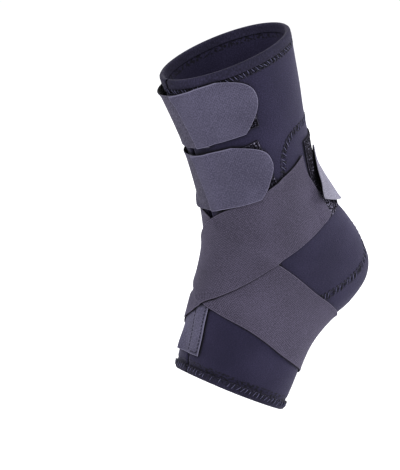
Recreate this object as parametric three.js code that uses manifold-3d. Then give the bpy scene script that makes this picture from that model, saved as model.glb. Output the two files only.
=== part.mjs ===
// A neoprene ankle brace for a left foot, in the shape that it has on a pointed foot: a sleeve open at the
// leg, at the toes and down the front, two closing straps across the shin, and an elastic band that passes
// under the arch, crosses on the instep and fastens behind the ankle.
// Millimetres. +Z is up, -X points to the toes and -Y to the outer side. The origin is the ankle's centre.
// Every piece is laid on one surface, the sleeve's outer face, whose points have two coordinates: a station,
// counted in rows of LIMB from the leg rim to the foot rim, and an azimuth, 0 at the front and growing
// towards the outer side.

import * as THREE from "three";
import { mergeVertices } from "three/addons/utils/BufferGeometryUtils.js";
import Module from "manifold-3d";

// Reach of the sleeve's outer face from the ankle's centre
const LEG_RISE = 143.5;
const FOOT_DROP = 124;
const HEEL_REACH = 75;
const INSTEP_REACH = 71.3;
const HALF_WIDTH = 40;

// Thicknesses, and the clearance that keeps neighbouring pieces apart
const NEOPRENE = 3.5;
const ELASTIC = 1.3;
const WEBBING = 1.1;
const GRIP = 1.5;
const LOOP_PILE = 1.0;
const TAPE = 0.9;
const CLEARANCE = 0.4;
const SEAM_GAP = 0.3;

// How far a flat facet may dip below the curved face that it follows, the longest side of a strip's facet,
// and the counts of facets where a length doesn't set them
const FACET_DIP = 0.42;
const FACET = 7.8;
const CUT_END_COLUMNS = 8;
const SLEEVE_ROWS = 24;
const SLEEVE_COLUMNS = 32;
const SEAM_STEPS = 20;

// Strips
const BAND_WIDTH = 50;
const BAND_GRIP_WIDTH = 39;
const STRAP_WIDTH = 39;
const UPPER_PATCH_WIDTH = 25;
const LOWER_PATCH_WIDTH = 36;
const BACK_PATCH_WIDTH = 62;
const INSTEP_TAPE_WIDTH = 25;
const BINDING_HEIGHT = 4.5;
const BINDING_CLOTH = 0.8;

// Sections of the sleeve's outer face, a row for each station: its front and back point, as shares of the
// reach on their side of the ankle's centre, its half width as a share of HALF_WIDTH, how much the back is
// narrower than the front, and the exponent of its superellipse, 2 for an ellipse.
const LIMB = [
  { frontX: -1.212, frontZ: 0.763, backX: 0.053, backZ: 1.0, wide: 0.988, taper: -0.02, square: 2.0 },
  { frontX: -1.031, frontZ: 0.557, backX: 0.167, backZ: 0.753, wide: 0.963, taper: 0.0, square: 2.0 },
  { frontX: -0.895, frontZ: 0.383, backX: 0.247, backZ: 0.544, wide: 0.912, taper: 0.03, square: 2.05 },
  { frontX: -0.792, frontZ: 0.216, backX: 0.353, backZ: 0.334, wide: 0.875, taper: 0.08, square: 2.1 },
  { frontX: -0.738, frontZ: 0.098, backX: 0.527, backZ: 0.181, wide: 0.875, taper: 0.12, square: 2.1 },
  { frontX: -0.715, frontZ: 0.01, backX: 0.733, backZ: 0.063, wide: 0.887, taper: 0.14, square: 2.15 },
  { frontX: -0.722, frontZ: -0.077, backX: 0.893, backZ: -0.065, wide: 0.875, taper: 0.12, square: 2.2 },
  { frontX: -0.76, frontZ: -0.165, backX: 1.0, backZ: -0.202, wide: 0.85, taper: 0.1, square: 2.25 },
  { frontX: -0.806, frontZ: -0.254, backX: 0.973, backZ: -0.323, wide: 0.838, taper: 0.08, square: 2.3 },
  { frontX: -0.86, frontZ: -0.347, backX: 0.78, backZ: -0.44, wide: 0.85, taper: 0.04, square: 2.3 },
  { frontX: -0.902, frontZ: -0.44, backX: 0.52, backZ: -0.532, wide: 0.887, taper: 0.02, square: 2.3 },
  { frontX: -0.933, frontZ: -0.536, backX: 0.293, backZ: -0.649, wide: 0.938, taper: 0.0, square: 2.3 },
  { frontX: -0.975, frontZ: -0.637, backX: 0.127, backZ: -0.819, wide: 0.975, taper: 0.0, square: 2.3 },
  { frontX: -1.0, frontZ: -0.742, backX: -0.028, backZ: -1.0, wide: 1.0, taper: 0.0, square: 2.3 },
];
const LAST_STATION = LIMB.length - 1;

// The front opening, as millimetres from the front line to each edge, against the station
const OPENING_HALF = [
  { station: 0, half: 1.0 },
  { station: 2, half: 1.6 },
  { station: 4, half: 3.2 },
  { station: 5.5, half: 3.6 },
  { station: 8, half: 1.6 },
  { station: 10, half: 0.7 },
  { station: 13, half: 0.6 },
];

// Centre lines of the strips: station and azimuth, in degrees, from the sewn end to the free end. The two
// halves of the band start one over the other under the arch.
const BAND_OVER_ROUTE = [
  { station: 10.95, azimuth: -186 },
  { station: 10.85, azimuth: -150 },
  { station: 10.25, azimuth: -100 },
  { station: 9.1, azimuth: -50 },
  { station: 6.9, azimuth: 0 },
  { station: 5.2, azimuth: 38 },
  { station: 4.15, azimuth: 80 },
  { station: 3.12, azimuth: 141 },
];
const BAND_UNDER_ROUTE = [
  { station: 10.95, azimuth: 186 },
  { station: 10.85, azimuth: 150 },
  { station: 9.9, azimuth: 100 },
  { station: 8.05, azimuth: 50 },
  { station: 6.35, azimuth: 0 },
  { station: 4.8, azimuth: -45 },
  { station: 3.7, azimuth: -95 },
  { station: 3.2, azimuth: -145 },
  { station: 3.12, azimuth: -186 },
];
const BAND_GRIP_ROUTE = [
  { station: 3.27, azimuth: -172 },
  { station: 3.27, azimuth: -201 },
  { station: 3.27, azimuth: -230 },
];
const LOOP_PATCHES = [
  {
    name: "upper",
    width: UPPER_PATCH_WIDTH,
    route: [
      { station: 0.94, azimuth: 40 },
      { station: 0.93, azimuth: 60 },
      { station: 0.92, azimuth: 77 },
    ],
  },
  {
    name: "lower",
    width: LOWER_PATCH_WIDTH,
    route: [
      { station: 2.5, azimuth: 40 },
      { station: 2.4, azimuth: 60 },
      { station: 2.3, azimuth: 78 },
    ],
  },
  {
    name: "back",
    width: BACK_PATCH_WIDTH,
    route: [
      { station: 3.35, azimuth: 112 },
      { station: 3.25, azimuth: 180 },
      { station: 3.35, azimuth: 248 },
    ],
  },
];
const INSTEP_TAPE_ROUTE = [
  { station: 12.0, azimuth: 0 },
  { station: 10.3, azimuth: 0 },
  { station: 8.8, azimuth: 0 },
];

// Each closing strap is a webbing sewn to the inner side and, from the front on, a grip
const STRAPS = [
  {
    name: "upper",
    webbing: [
      { station: 0.9, azimuth: -68 },
      { station: 0.93, azimuth: -30 },
      { station: 0.93, azimuth: 21 },
    ],
    grip: [
      { station: 0.93, azimuth: 3 },
      { station: 0.85, azimuth: 42 },
      { station: 0.79, azimuth: 82 },
    ],
  },
  {
    name: "lower",
    webbing: [
      { station: 2.6, azimuth: -68 },
      { station: 2.68, azimuth: -30 },
      { station: 2.69, azimuth: 14 },
    ],
    grip: [
      { station: 2.69, azimuth: -4 },
      { station: 2.55, azimuth: 38 },
      { station: 2.46, azimuth: 81 },
    ],
  },
];

// How far a grip's end is cut back towards its upper and lower edge: depth at the edge in millimetres, and
// the exponent of the curve that leads there from the middle
const STRAP_GRIP_END = { upperDepth: 23, upperCurve: 2.9, lowerDepth: 15, lowerCurve: 1.5 };
const BAND_GRIP_END = { upperDepth: 7, upperCurve: 2.5, lowerDepth: 4, lowerCurve: 4 };

// How much further the upper half of the band runs at its upper edge, as a share of its width, so that it
// ends in line with the leg
const BAND_END_SLANT = 0.62;

// How far the band's grip stands off at its lower edge
const BAND_GRIP_STAND = 2;

// The panels sewn in at the back are rounded areas of the face about the back line: middle station, reach in
// stations towards the leg and towards the foot, reach in degrees to each side, and the exponent of the
// outline, a superellipse
const ACHILLES_PANEL = { station: 5.8, reachUp: 4.05, reachDown: 4.3, reachDegrees: 116, exponent: 3.4 };
const HEEL_CUP = { station: 9.0, reachUp: 3.8, reachDown: 1.9, reachDegrees: 86, exponent: 1.25 };

const toRadians = (degrees) => (degrees * Math.PI) / 180;
const clamp = (value, low, high) => Math.min(high, Math.max(low, value));
const smooth = (share) => {
  const t = clamp(share, 0, 1);
  return t * t * (3 - 2 * t);
};

// Every column of a table at a fractional row, on a curve through the rows that runs on straight past them
function rowAt(rows, position) {
  const last = rows.length - 1;
  const i = clamp(Math.floor(position), 0, last - 1);
  const f = position - i;
  const value = (k, column) => {
    if (k < 0) return 2 * rows[0][column] - rows[1][column];
    if (k > last) return 2 * rows[last][column] - rows[last - 1][column];
    return rows[k][column];
  };
  const made = {};
  for (const column of Object.keys(rows[0])) {
    const [a, b, c, d] = [-1, 0, 1, 2].map((k) => value(i + k, column));
    made[column] =
      b + 0.5 * f * (c - a + f * (2 * a - 5 * b + 4 * c - d + f * (3 * (b - c) + d - a)));
  }
  return made;
}

// A table's column at a value of its first column, straight between the rows
function alongTable(rows, key, column, at) {
  const after = rows.findIndex((row) => row[key] >= at);
  if (after < 0) return rows[rows.length - 1][column];
  if (after === 0) return rows[0][column];
  const [a, b] = [rows[after - 1], rows[after]];
  return a[column] + ((b[column] - a[column]) * (at - a[key])) / (b[key] - a[key]);
}

const across = (share) => share * (share < 0 ? INSTEP_REACH : HEEL_REACH);
const up = (share) => share * (share < 0 ? FOOT_DROP : LEG_RISE);

// A point of the sleeve's outer face: a superellipse from the section's front point to its back point
function formPoint(station, azimuth) {
  const row = rowAt(LIMB, station);
  const front = new THREE.Vector3(across(row.frontX), 0, up(row.frontZ));
  const back = new THREE.Vector3(across(row.backX), 0, up(row.backZ));
  const cosine = Math.cos(toRadians(azimuth));
  const sine = Math.sin(toRadians(azimuth));
  const reach =
    (Math.abs(cosine) ** row.square + Math.abs(sine) ** row.square) ** (-1 / row.square);
  const point = front.clone().add(back).multiplyScalar(0.5);
  point.addScaledVector(front.sub(back), 0.5 * reach * cosine);
  point.y -= HALF_WIDTH * row.wide * reach * sine * (1 + row.taper * cosine);
  return point;
}

// The same point with the face's outward normal and its change per station and per degree
function formFrame(station, azimuth) {
  const step = 0.01;
  const point = formPoint(station, azimuth);
  const perStation = formPoint(station + step, azimuth)
    .sub(formPoint(station - step, azimuth))
    .divideScalar(2 * step);
  const perDegree = formPoint(station, azimuth + step)
    .sub(formPoint(station, azimuth - step))
    .divideScalar(2 * step);
  const normal = perStation.clone().cross(perDegree).normalize();
  return { point, perStation, perDegree, normal };
}

// Coordinates reached by going a small way over the face along a direction in space
function stepOver(place, direction, distance) {
  const { perStation, perDegree } = formFrame(place.station, place.azimuth);
  const ss = perStation.dot(perStation);
  const sd = perStation.dot(perDegree);
  const dd = perDegree.dot(perDegree);
  const s = direction.dot(perStation) * distance;
  const d = direction.dot(perDegree) * distance;
  const size = ss * dd - sd * sd;
  return {
    station: place.station + (s * dd - d * sd) / size,
    azimuth: place.azimuth + (d * ss - s * sd) / size,
  };
}

// Coordinates reached by walking straight over the face, in short steps
function walk(place, direction, distance) {
  const steps = Math.max(1, Math.ceil(Math.abs(distance) / 4));
  const heading = direction.clone();
  let here = place;
  for (let i = 0; i < steps; i++) {
    const { normal } = formFrame(here.station, here.azimuth);
    heading.addScaledVector(normal, -heading.dot(normal)).normalize();
    here = stepOver(here, heading, distance / steps);
  }
  return here;
}

// A route's centre line, measured along the face: its length, and the place and sideways direction at any
// distance from its start. Sideways is to the left of the way that the route runs, seen from outside.
function centreLine(route) {
  const samples = 160;
  const last = route.length - 1;
  const places = Array.from({ length: samples + 1 }, (_, i) => rowAt(route, (i / samples) * last));
  const points = places.map((place) => formPoint(place.station, place.azimuth));
  const lengths = [0];
  for (let i = 1; i <= samples; i++) {
    lengths.push(lengths[i - 1] + points[i].distanceTo(points[i - 1]));
  }
  const length = lengths[samples];
  const sideAt = (i) => {
    const ahead = points[Math.min(i + 1, samples)].clone().sub(points[Math.max(i - 1, 0)]);
    const { normal } = formFrame(places[i].station, places[i].azimuth);
    return normal.cross(ahead).normalize();
  };
  const at = (distance) => {
    const wanted = clamp(distance, 0, length);
    const i = clamp(lengths.findIndex((l) => l >= wanted), 1, samples);
    const f = (wanted - lengths[i - 1]) / (lengths[i] - lengths[i - 1]);
    const mix = (a, b) => a + (b - a) * f;
    return {
      place: {
        station: mix(places[i - 1].station, places[i].station),
        azimuth: mix(places[i - 1].azimuth, places[i].azimuth),
      },
      side: sideAt(i - 1).lerp(sideAt(i), f).normalize(),
    };
  };
  return { length, at };
}

// Closed geometry from a list of points and triangles, its faces turned outwards
function closedGeometry(points, triangles) {
  const volume = triangles.reduce((sum, [a, b, c]) => {
    return sum + points[a].dot(points[b].clone().cross(points[c]));
  }, 0);
  const order = volume < 0 ? ([a, b, c]) => [a, c, b] : (triangle) => triangle;
  const flat = triangles.flatMap((triangle) => order(triangle).flatMap((i) => points[i].toArray()));
  const made = new THREE.BufferGeometry();
  made.setAttribute("position", new THREE.Float32BufferAttribute(flat, 3));
  return made;
}

// A sheet with thickness, laid on the face: a grid of places, each with the offsets of its two sides
function slab(grid) {
  const rows = grid.length;
  const columns = grid[0].length;
  const points = [];
  for (const side of ["low", "high"]) {
    for (const place of grid.flat()) {
      const { point, normal } = formFrame(place.station, place.azimuth);
      points.push(point.addScaledVector(normal, place[side]));
    }
  }
  const index = (layer, i, j) => layer * rows * columns + i * columns + j;
  const triangles = [];
  const quad = (a, b, c, d) => triangles.push([a, b, c], [a, c, d]);
  for (let i = 0; i + 1 < rows; i++) {
    for (let j = 0; j + 1 < columns; j++) {
      quad(index(1, i, j), index(1, i + 1, j), index(1, i + 1, j + 1), index(1, i, j + 1));
      quad(index(0, i, j), index(0, i, j + 1), index(0, i + 1, j + 1), index(0, i + 1, j));
    }
  }
  for (let i = 0; i + 1 < rows; i++) {
    const end = columns - 1;
    quad(index(0, i, 0), index(0, i + 1, 0), index(1, i + 1, 0), index(1, i, 0));
    quad(index(0, i, end), index(1, i, end), index(1, i + 1, end), index(0, i + 1, end));
  }
  for (let j = 0; j + 1 < columns; j++) {
    const end = rows - 1;
    quad(index(0, 0, j), index(1, 0, j), index(1, 0, j + 1), index(0, 0, j + 1));
    quad(index(0, end, j), index(0, end, j + 1), index(1, end, j + 1), index(1, end, j));
  }
  return closedGeometry(points, triangles);
}

// How high the pieces already laid reach under a point: their full height within LIFT_MARGIN of a corner of
// their grid, then easing down to the sleeve
const LIFT_MARGIN = 11;
const LIFT_EASE = 8;

function liftOver(point, laid) {
  let lift = 0;
  for (const { points, tops } of laid) {
    const distances = points.map((corner) => corner.distanceTo(point));
    const shortest = Math.min(...distances);
    const cover = smooth(1 - (shortest - LIFT_MARGIN) / LIFT_EASE);
    lift = Math.max(lift, cover * tops[distances.indexOf(shortest)]);
  }
  return lift;
}

// What a laid grid offers to the pieces over it: its corners on the face, and the height of its top around
// each of them
function footprintOf(grid) {
  const around = (cells, j) => cells.slice(Math.max(0, j - 1), j + 2).map((cell) => cell.high);
  const tops = grid.map((row, i) => {
    const rows = grid.slice(Math.max(0, i - 1), i + 2);
    return row.map((_, j) => Math.max(...rows.flatMap((cells) => around(cells, j))));
  });
  const points = grid.flat().map((cell) => formPoint(cell.station, cell.azimuth));
  return { points, tops: tops.flat() };
}

// A strip of cloth on the face along a route. It lies a clearance above what is laid under it, its free end
// may be cut to a shape, with its columns closer at the edges, and `stand` adds height towards that end.
function strip({ route, width, thickness, over = [], endCut, stand = () => 0 }) {
  const line = centreLine(route);
  const rows = Math.ceil(line.length / FACET);
  const columns = endCut ? CUT_END_COLUMNS : Math.ceil(width / FACET);
  const grid = [];
  for (let i = 0; i <= rows; i++) {
    const cells = [];
    for (let j = 0; j <= columns; j++) {
      const even = (2 * j) / columns - 1;
      const edge = endCut ? Math.sin((even * Math.PI) / 2) : even;
      const distance = ((line.length - (endCut ? endCut(edge) : 0)) * i) / rows;
      const { place, side } = line.at(distance);
      const here = walk(place, side, (edge * width) / 2);
      const point = formPoint(here.station, here.azimuth);
      const low = liftOver(point, over) + CLEARANCE + FACET_DIP + stand(distance / line.length, edge);
      cells.push({ ...here, low, high: low + thickness });
    }
    grid.push(cells);
  }
  return { geometry: slab(grid), footprint: footprintOf(grid) };
}

// Azimuth, in degrees, of the front opening's edge at a station
function openingEdge(station) {
  const half = alongTable(OPENING_HALF, "station", "half", station);
  return half / formFrame(station, 0).perDegree.length();
}

// The whole sleeve before it is cut into panels
function sleeveShell() {
  const grid = [];
  for (let i = 0; i <= SLEEVE_ROWS; i++) {
    const station = (LAST_STATION * i) / SLEEVE_ROWS;
    const edge = openingEdge(station);
    const cells = [];
    for (let j = 0; j <= SLEEVE_COLUMNS; j++) {
      const azimuth = edge + ((360 - 2 * edge) * j) / SLEEVE_COLUMNS;
      cells.push({ station, azimuth, low: -NEOPRENE, high: 0 });
    }
    grid.push(cells);
  }
  return slab(grid);
}

// A thick slab over a panel's area, grown by some millimetres, that cuts the panel out of the sleeve
function panelCutter({ station, reachUp, reachDown, reachDegrees, exponent }, grow) {
  const rows = SEAM_STEPS;
  const columns = SEAM_STEPS / 2;
  const bulge = 2 / exponent;
  const grid = [];
  for (let i = 0; i <= rows; i++) {
    const turn = (Math.PI * i) / rows;
    const along = -Math.sign(Math.cos(turn)) * Math.abs(Math.cos(turn)) ** bulge;
    const aside = Math.abs(Math.sin(turn)) ** bulge;
    const reach = along < 0 ? reachUp : reachDown;
    const middle = formFrame(station + reach * along, 180);
    const grownReach = reach + grow / middle.perStation.length();
    const sideReach = reachDegrees + grow / middle.perDegree.length();
    const at = station + grownReach * along;
    const cells = [];
    for (let j = 0; j <= columns; j++) {
      const azimuth = 180 + sideReach * aside * ((2 * j) / columns - 1);
      cells.push({ station: at, azimuth, low: -2 * NEOPRENE, high: NEOPRENE });
    }
    grid.push(cells);
  }
  return slab(grid);
}

const wasm = await Module();
wasm.setup();

// three.js geometry as a manifold solid, and back
function solidOf(geometry) {
  const merged = mergeVertices(geometry.clone(), 1e-4);
  const corners = merged.index.array;
  const kept = [];
  for (let i = 0; i < corners.length; i += 3) {
    const [a, b, c] = corners.slice(i, i + 3);
    if (a !== b && b !== c && c !== a) kept.push(a, b, c);
  }
  return new wasm.Manifold(
    new wasm.Mesh({
      numProp: 3,
      vertProperties: merged.attributes.position.array,
      triVerts: new Uint32Array(kept),
    }),
  );
}

function geometryOf(solid) {
  const mesh = solid.getMesh();
  const made = new THREE.BufferGeometry();
  made.setAttribute("position", new THREE.BufferAttribute(new Float32Array(mesh.vertProperties), 3));
  made.setIndex(new THREE.BufferAttribute(new Uint32Array(mesh.triVerts), 1));
  return made;
}

// Folded binding over a rim of the sleeve: a U of cloth carried round the rim
function binding(station, inwards) {
  const columns = SLEEVE_COLUMNS;
  const inner = -NEOPRENE - CLEARANCE;
  const outer = CLEARANCE;
  const cloth = BINDING_CLOTH;
  const profile = [
    [BINDING_HEIGHT, outer],
    [BINDING_HEIGHT, outer + cloth],
    [-CLEARANCE, outer + cloth],
    [-CLEARANCE - cloth, outer],
    [-CLEARANCE - cloth, inner],
    [-CLEARANCE, inner - cloth],
    [BINDING_HEIGHT, inner - cloth],
    [BINDING_HEIGHT, inner],
    [-CLEARANCE, inner],
    [-CLEARANCE, outer],
  ];
  const edge = openingEdge(station);
  const points = [];
  for (let j = 0; j <= columns; j++) {
    const azimuth = edge + ((360 - 2 * edge) * j) / columns;
    const { perStation } = formFrame(station, azimuth);
    for (const [depth, offset] of profile) {
      const at = station + (inwards * depth) / perStation.length();
      const { point, normal } = formFrame(at, azimuth);
      points.push(point.addScaledVector(normal, offset));
    }
  }
  const size = profile.length;
  const triangles = [];
  for (let j = 0; j < columns; j++) {
    for (let k = 0; k < size; k++) {
      const [a, b] = [j * size + k, j * size + ((k + 1) % size)];
      triangles.push([a, b, b + size], [a, b + size, a + size]);
    }
  }
  const outline = profile.map(([depth, offset]) => new THREE.Vector2(depth, offset));
  const clockwise = THREE.ShapeUtils.isClockWise(outline);
  for (const corners of THREE.ShapeUtils.triangulateShape(outline, [])) {
    const sameWay = THREE.ShapeUtils.isClockWise(corners.map((k) => outline[k])) === clockwise;
    const ordered = sameWay ? corners : corners.slice().reverse();
    triangles.push(ordered.slice().reverse(), ordered.map((k) => k + columns * size));
  }
  return closedGeometry(points, triangles);
}

const brace = new THREE.Group();

function cloth(name, geometry, colour) {
  const material = new THREE.MeshStandardMaterial({ color: colour, roughness: 0.85, metalness: 0 });
  const mesh = new THREE.Mesh(geometry, material);
  mesh.name = name;
  brace.add(mesh);
}

const COLOURS = {
  neoprene: 0x2c2a3a,
  binding: 0x353344,
  elastic: 0x4c4754,
  webbing: 0x55525f,
  grip: 0x5b5969,
  pile: 0x23222c,
  tape: 0x565465,
  bandGrip: 0x83869a,
};

// The cut at a grip's end. Edge runs from -1 to 1, and upwards where `upper` is 1.
function endCutTo({ upperDepth, upperCurve, lowerDepth, lowerCurve }, upper) {
  return (edge) => {
    const height = edge * upper;
    return height > 0 ? upperDepth * height ** upperCurve : lowerDepth * (-height) ** lowerCurve;
  };
}

// The sleeve, cut into its front panel, the panel round the Achilles tendon, and the heel cup
const shell = solidOf(sleeveShell());
const cut = (panel, grow) => solidOf(panelCutter(panel, grow));
const frontPanel = shell.subtract(cut(ACHILLES_PANEL, SEAM_GAP)).subtract(cut(HEEL_CUP, SEAM_GAP));
const achillesPanel = shell.intersect(cut(ACHILLES_PANEL, 0)).subtract(cut(HEEL_CUP, SEAM_GAP));
const heelCup = shell.intersect(cut(HEEL_CUP, 0));
cloth("sleeve_front_panel", geometryOf(frontPanel), COLOURS.neoprene);
cloth("sleeve_achilles_panel", geometryOf(achillesPanel), COLOURS.neoprene);
cloth("sleeve_heel_cup", geometryOf(heelCup), COLOURS.neoprene);

const bindings = [
  { name: "leg", station: 0, inwards: 1 },
  { name: "foot", station: LAST_STATION, inwards: -1 },
].map(({ name, station, inwards }) => {
  cloth(`${name}_rim_binding`, binding(station, inwards), COLOURS.binding);
  const turns = Array.from({ length: SLEEVE_COLUMNS * 2 }, (_, j) => (180 * j) / SLEEVE_COLUMNS);
  const ring = turns.map((azimuth) => {
    const depth = BINDING_HEIGHT / formFrame(station, azimuth).perStation.length();
    return [station, station + inwards * depth].map((at) => {
      return { station: at, azimuth, high: CLEARANCE + BINDING_CLOTH };
    });
  });
  return footprintOf(ring);
});

// The patches that the grips cling to
const patches = LOOP_PATCHES.map(({ name, route, width }) => {
  const patch = strip({ route, width, thickness: LOOP_PILE, over: bindings });
  cloth(`loop_patch_${name}`, patch.geometry, COLOURS.pile);
  return patch.footprint;
});

const tape = strip({
  route: INSTEP_TAPE_ROUTE,
  width: INSTEP_TAPE_WIDTH,
  thickness: TAPE,
  over: bindings,
});
cloth("instep_tape", tape.geometry, COLOURS.tape);

// The two halves of the elastic band, the second of which lies over the first
const underneath = [...bindings, ...patches, tape.footprint];
const bandUnder = strip({ route: BAND_UNDER_ROUTE, width: BAND_WIDTH, thickness: ELASTIC, over: underneath });
cloth("band_under", bandUnder.geometry, COLOURS.elastic);
underneath.push(bandUnder.footprint);
const bandOver = strip({
  route: BAND_OVER_ROUTE,
  width: BAND_WIDTH,
  thickness: ELASTIC,
  over: underneath,
  endCut: (edge) => (BAND_END_SLANT * BAND_WIDTH * (1 - edge)) / 2,
});
cloth("band_over", bandOver.geometry, COLOURS.elastic);
underneath.push(bandOver.footprint);

const bandGrip = strip({
  route: BAND_GRIP_ROUTE,
  width: BAND_GRIP_WIDTH,
  thickness: GRIP,
  over: underneath,
  endCut: endCutTo(BAND_GRIP_END, -1),
  stand: (share, edge) => BAND_GRIP_STAND * smooth(2 * share) * ((1 + edge) / 2) ** 1.5,
});
cloth("band_grip", bandGrip.geometry, COLOURS.bandGrip);

for (const { name, webbing, grip } of STRAPS) {
  const sewn = strip({ route: webbing, width: STRAP_WIDTH, thickness: WEBBING, over: underneath });
  cloth(`strap_webbing_${name}`, sewn.geometry, COLOURS.webbing);
  const closing = strip({
    route: grip,
    width: STRAP_WIDTH,
    thickness: GRIP,
    over: [...underneath, sewn.footprint],
    endCut: endCutTo(STRAP_GRIP_END, 1),
  });
  cloth(`strap_grip_${name}`, closing.geometry, COLOURS.grip);
}

export default brace;
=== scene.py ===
"""A neoprene ankle brace in the form that it has on a pointed foot, dressed in its cloths.

Every piece is laid on one surface, the sleeve's outer face. A point of that face has a station, counted in
rows of LIMB from the leg rim to the foot rim, and an azimuth in degrees, 0 at the front and growing towards
the outer side. Lengths here are millimetres, and the meshes are made in metres.
"""

import math

import bpy
import numpy as np
from mathutils import Matrix, Vector


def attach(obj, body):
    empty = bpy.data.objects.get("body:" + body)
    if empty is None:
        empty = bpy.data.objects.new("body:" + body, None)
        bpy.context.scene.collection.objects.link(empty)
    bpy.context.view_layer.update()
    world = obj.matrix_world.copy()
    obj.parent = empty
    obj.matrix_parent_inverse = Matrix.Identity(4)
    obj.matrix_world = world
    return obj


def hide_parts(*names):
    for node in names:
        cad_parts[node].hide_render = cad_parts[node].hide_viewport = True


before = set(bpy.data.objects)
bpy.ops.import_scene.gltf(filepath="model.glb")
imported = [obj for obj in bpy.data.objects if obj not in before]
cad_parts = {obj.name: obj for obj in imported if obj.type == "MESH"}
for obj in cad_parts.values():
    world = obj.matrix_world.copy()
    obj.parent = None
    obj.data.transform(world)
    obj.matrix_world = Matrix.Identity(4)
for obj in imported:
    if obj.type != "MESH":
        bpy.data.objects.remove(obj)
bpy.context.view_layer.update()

MM = 0.001
ROOT = "root"
SEED = 7

# Reach of the sleeve's outer face from the ankle's centre
LEG_RISE = 143.5
FOOT_DROP = 124.0
HEEL_REACH = 75.0
INSTEP_REACH = 71.3
HALF_WIDTH = 40.0

# Thickness of each cloth
NEOPRENE = 3.5
ELASTIC = 1.3
WEBBING = 1.0
HOOK_TAPE = 1.4
PILE = 1.0
TAPE = 0.9
BINDING_CLOTH = 0.8

# Widths of the strips, and the height of the rims' binding
BAND_WIDTH = 50.0
BAND_TAB_WIDTH = 39.0
STRAP_WIDTH = 41.5
TAPE_WIDTH = 25.0
BINDING_HEIGHT = 4.5

# Air between a strip and what it lies on, and how far its border stands off more, over what reach
AIR = 0.12
EDGE_CURL = 0.3
CURL_REACH = 4.0

# Distance between the marks of a strip's grid, and its rounded rim as a share of its thickness
STRIP_STEP = 1.4
STRIP_RIM = 0.7

# Sections of the face, a row for each station, as shares of the reaches: front x and z, back x and z, half
# width, how much the back is narrower than the front, and the exponent of the superellipse
LIMB = np.array(
    [
        (-1.212, 0.763, 0.053, 1.0, 0.988, -0.02, 2.0),
        (-1.031, 0.557, 0.167, 0.753, 0.963, 0.0, 2.0),
        (-0.895, 0.383, 0.247, 0.544, 0.912, 0.03, 2.05),
        (-0.792, 0.216, 0.353, 0.334, 0.875, 0.08, 2.1),
        (-0.738, 0.098, 0.527, 0.181, 0.875, 0.12, 2.1),
        (-0.715, 0.01, 0.733, 0.063, 0.887, 0.14, 2.15),
        (-0.722, -0.077, 0.893, -0.065, 0.875, 0.12, 2.2),
        (-0.76, -0.165, 1.0, -0.202, 0.85, 0.1, 2.25),
        (-0.806, -0.254, 0.973, -0.323, 0.838, 0.08, 2.3),
        (-0.86, -0.347, 0.78, -0.44, 0.85, 0.04, 2.3),
        (-0.902, -0.44, 0.52, -0.532, 0.887, 0.02, 2.3),
        (-0.933, -0.536, 0.293, -0.649, 0.938, 0.0, 2.3),
        (-0.975, -0.637, 0.127, -0.819, 0.975, 0.0, 2.3),
        (-1.0, -0.742, -0.028, -1.0, 1.0, 0.0, 2.3),
    ]
)
LAST_STATION = len(LIMB) - 1

# The front opening: station, and millimetres from the front line to each edge
OPENING_HALF = np.array([(0, 1.0), (2, 1.6), (4, 3.2), (5.5, 3.6), (8, 1.6), (10, 0.7), (13, 0.6)])

# Centre lines of the strips, as stations and azimuths from the sewn end to the free end
BAND_OVER_ROUTE = [
    (10.95, -186), (10.85, -150), (10.25, -100), (9.1, -50), (6.9, 0), (5.2, 38), (4.15, 80), (3.12, 141),
]
BAND_UNDER_ROUTE = [
    (10.95, 186), (10.85, 150), (9.9, 100), (8.05, 50), (6.35, 0), (4.8, -45), (3.7, -95), (3.2, -145),
    (3.12, -186),
]
BAND_TAB_ROUTE = [(3.8, -172), (3.46, -203), (3.06, -226)]
PATCHES = {
    "upper": (25.0, [(0.94, 40), (0.93, 60), (0.92, 77)]),
    "lower": (36.0, [(2.5, 40), (2.4, 60), (2.3, 78)]),
    "back": (60.0, [(3.3, 123), (3.16, 180), (3.3, 248)]),
}
TAPE_ROUTE = [(12.0, 0), (10.3, 0), (8.8, 0)]
STRAPS = {
    "upper": ([(0.86, -68), (0.87, -30), (0.85, 28)], [(0.85, 11), (0.75, 46), (0.71, 82)]),
    "lower": ([(2.53, -68), (2.6, -30), (2.6, 19)], [(2.6, 6), (2.45, 43), (2.35, 82)]),
}

# How far the band's end is cut back, how much further at its lower edge, as a share of its width, and how
# deep the end is hollowed
BAND_END_CUT = 5.5
BAND_END_SLANT = 0.22
BAND_END_HOLLOW = 3.5

# Panels sewn in at the back: middle station, reach towards the leg and the foot, reach in degrees at the leg
# end and from the middle on, exponent
ACHILLES_PANEL = (5.8, 3.97, 4.3, 90.0, 116.0, 7.0)
HEEL_CUP = (9.1, 3.95, 1.8, 86.0, 86.0, 1.0)

# The camera, at the photograph's angle: how far it is turned to the right and raised, its distance from the
# ankle's centre, and how far its line of sight passes beside and below that centre
CAMERA_TURN = 30.0
CAMERA_RAISE = 12.0
CAMERA_DISTANCE = 1371.0
CAMERA_BESIDE = -52.5
CAMERA_BELOW = -3.5
CAMERA_LENS = 150.0
CAMERA_SENSOR = 36.0


def dot(a, b):
    return np.einsum("...i,...i->...", a, b)


def unit(a):
    return a / np.linalg.norm(a, axis=-1, keepdims=True)


def smooth(share):
    """0 below 0, 1 above 1, and the cubic 3t² - 2t³ between."""
    t = np.clip(share, 0, 1)
    return t * t * (3 - 2 * t)


def rows_at(rows, position):
    """Rows of a table at fractional positions: a Catmull-Rom curve that runs on straight past the ends."""
    rows = np.asarray(rows, float)
    longer = np.vstack([2 * rows[0] - rows[1], rows, 2 * rows[-1] - rows[-2]])
    i = np.clip(np.floor(position).astype(int), 0, len(rows) - 2)
    f = (position - i)[..., None]
    a, b, c, d = (longer[i + k] for k in range(4))
    return b + 0.5 * f * (c - a + f * (2 * a - 5 * b + 4 * c - d + f * (3 * (b - c) + d - a)))


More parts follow.
